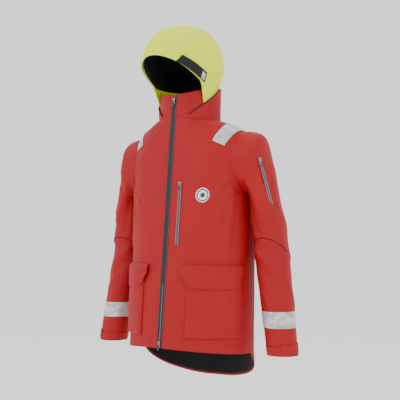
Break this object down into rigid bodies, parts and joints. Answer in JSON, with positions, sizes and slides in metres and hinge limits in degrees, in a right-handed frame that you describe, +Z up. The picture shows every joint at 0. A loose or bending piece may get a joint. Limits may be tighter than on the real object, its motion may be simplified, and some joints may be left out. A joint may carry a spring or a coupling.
{
  "type": "foul weather jacket",
  "caption": "Hooded sailing jacket with a drop tail, a high collar that stows its hood, a two-way front zip, flapped pockets and reflective bands.",
  "frame": {"origin": "middle of the underside of the hang loop's bar, inside the back of the neck", "axes": "+Z up along the hanging jacket, -Y out of its front, +X to the wearer's left"},
  "size_m": [0.7566, 0.3594, 1.155],
  "materials": {
    "red_shell": "matt woven nylon shell, coated behind",
    "yellow_shell": "matt fluorescent woven polyester",
    "black_lining": "matt knitted mesh and tape",
    "zip_tape": "smooth water-repellent zip tape",
    "reflective_tape": "silver retro-reflective film on cloth",
    "wrist_seal": "matt stretch seal",
    "zip_metal": "grey die-cast zinc, lacquered",
    "badge_weave": "woven badge with a merrowed edge"
  },
  "bodies": {
    "jacket": {"left_front_panel": "red_shell", "right_front_panel": "red_shell", "back_panel": "red_shell", "tail_facing": "black_lining", "mesh_lining": "black_lining", "left_chin_guard": "red_shell", "right_chin_guard": "red_shell", "hood_stow_collar": "red_shell", "inner_collar": "black_lining", "hang_loop": "black_lining", "left_shoulder_band": "reflective_tape", "right_shoulder_band": "reflective_tape", "left_zip_tape": "zip_tape", "right_zip_tape": "zip_tape", "inner_storm_flap": "red_shell", "zip_garage": "red_shell", "chest_pocket_zip_tape": "zip_tape", "chest_pocket_bag": "black_lining", "badge": "badge_weave", "left_cargo_pocket": "red_shell", "right_cargo_pocket": "red_shell"},
    "hood": {"hood_peak": "yellow_shell", "hood_crown_panel": "yellow_shell", "hood_left_panel": "yellow_shell", "hood_right_panel": "yellow_shell", "hood_lining": "black_lining", "left_hood_tab": "black_lining", "right_hood_tab": "black_lining"},
    "left_arm": {"left_upper_sleeve": "red_shell", "sleeve_pocket_zip_tape": "zip_tape"},
    "right_arm": {"right_upper_sleeve": "red_shell"},
    "left_forearm": {"left_lower_sleeve": "red_shell", "left_cuff_band": "red_shell", "left_wrist_seal": "wrist_seal", "left_forearm_band": "reflective_tape"},
    "right_forearm": {"right_lower_sleeve": "red_shell", "right_cuff_band": "red_shell", "right_wrist_seal": "wrist_seal", "right_forearm_band": "reflective_tape"},
    "left_cuff_strap": {"left_cuff_tab": "red_shell"},
    "right_cuff_strap": {"right_cuff_tab": "red_shell"},
    "main_zip_slider": {"main_slider": "zip_metal"},
    "main_zip_pull": {"main_pull": "zip_metal"},
    "bottom_zip_slider": {"bottom_slider": "zip_metal"},
    "bottom_zip_pull": {"bottom_pull": "zip_metal"},
    "chest_zip_slider": {"chest_slider": "zip_metal"},
    "chest_zip_pull": {"chest_pull": "zip_metal"},
    "sleeve_zip_slider": {"sleeve_slider": "zip_metal"},
    "sleeve_zip_pull": {"sleeve_pull": "zip_metal"},
    "left_flap": {"left_pocket_flap": "red_shell"},
    "right_flap": {"right_pocket_flap": "red_shell"}
  },
  "joints": [
    {"name": "hood_fold", "type": "hinge", "parent": "jacket", "child": "hood", "pos_m": [0, 0.0228, 0.091], "axis": [-1, 0, 0], "range_deg": [0, 100]},
    {"name": "left_shoulder", "type": "hinge", "parent": "jacket", "child": "left_arm", "pos_m": [0.2, -0.046, -0.15], "axis": [0, -1, 0], "range_deg": [0, 70]},
    {"name": "left_elbow", "type": "hinge", "parent": "left_arm", "child": "left_forearm", "pos_m": [0.276, -0.028, -0.43], "axis": [-1, 0, 0], "range_deg": [0, 60]},
    {"name": "right_shoulder", "type": "hinge", "parent": "jacket", "child": "right_arm", "pos_m": [-0.2, -0.046, -0.15], "axis": [0, 1, 0], "range_deg": [0, 70]},
    {"name": "right_elbow", "type": "hinge", "parent": "right_arm", "child": "right_forearm", "pos_m": [-0.276, -0.028, -0.43], "axis": [-1, 0, 0], "range_deg": [0, 60]},
    {"name": "main_zip_run", "type": "slide", "parent": "jacket", "child": "main_zip_slider", "axis": [-0.0311, -0.0634, -0.9975], "range_m": [0, 0.56]},
    {"name": "bottom_zip_run", "type": "slide", "parent": "jacket", "child": "bottom_zip_slider", "axis": [0.0311, 0.0634, 0.9975], "range_m": [0, 0.12]},
    {"name": "chest_zip_run", "type": "slide", "parent": "jacket", "child": "chest_zip_slider", "axis": [-0.031, -0.0627, -0.9976], "range_m": [0, 0.172]},
    {"name": "sleeve_zip_run", "type": "slide", "parent": "left_arm", "child": "sleeve_zip_slider", "axis": [0.2117, 0.1517, -0.9655], "range_m": [0, 0.122]},
    {"name": "main_pull_swing", "type": "hinge", "parent": "main_zip_slider", "child": "main_zip_pull", "pos_m": [-0.00048, -0.1674, 0.05244], "axis": [-0.9995, 0, 0.0311], "range_deg": [0, 120]},
    {"name": "bottom_pull_swing", "type": "hinge", "parent": "bottom_zip_slider", "child": "bottom_zip_pull", "pos_m": [-0.02443, -0.21625, -0.71664], "axis": [-0.9995, 0, 0.0311], "range_deg": [0, 120]},
    {"name": "chest_pull_swing", "type": "hinge", "parent": "chest_zip_slider", "child": "chest_zip_pull", "pos_m": [0.03399, -0.18502, -0.21548], "axis": [-0.9967, -0.0727, 0.0356], "range_deg": [0, 120]},
    {"name": "sleeve_pull_swing", "type": "hinge", "parent": "sleeve_zip_slider", "child": "sleeve_zip_pull", "pos_m": [0.27668, -0.09616, -0.14537], "axis": [-0.3683, -0.9027, -0.2226], "range_deg": [0, 120]},
    {"name": "left_flap_lift", "type": "hinge", "parent": "jacket", "child": "left_flap", "pos_m": [0.15627, -0.16191, -0.46972], "axis": [-0.8418, -0.5398, 0], "range_deg": [0, 110]},
    {"name": "left_cuff_tab_open", "type": "hinge", "parent": "left_forearm", "child": "left_cuff_strap", "pos_m": [0.36067, -0.01163, -0.722], "axis": [-0.1779, 0.0858, 0.9803], "range_deg": [0, 60]},
    {"name": "right_flap_lift", "type": "hinge", "parent": "jacket", "child": "right_flap", "pos_m": [-0.17113, -0.16304, -0.46958], "axis": [-0.786, 0.6182, 0], "range_deg": [0, 110]},
    {"name": "right_cuff_tab_open", "type": "hinge", "parent": "right_forearm", "child": "right_cuff_strap", "pos_m": [-0.36067, -0.01163, -0.722], "axis": [-0.1779, -0.0858, -0.9803], "range_deg": [0, 60]}
  ]
}
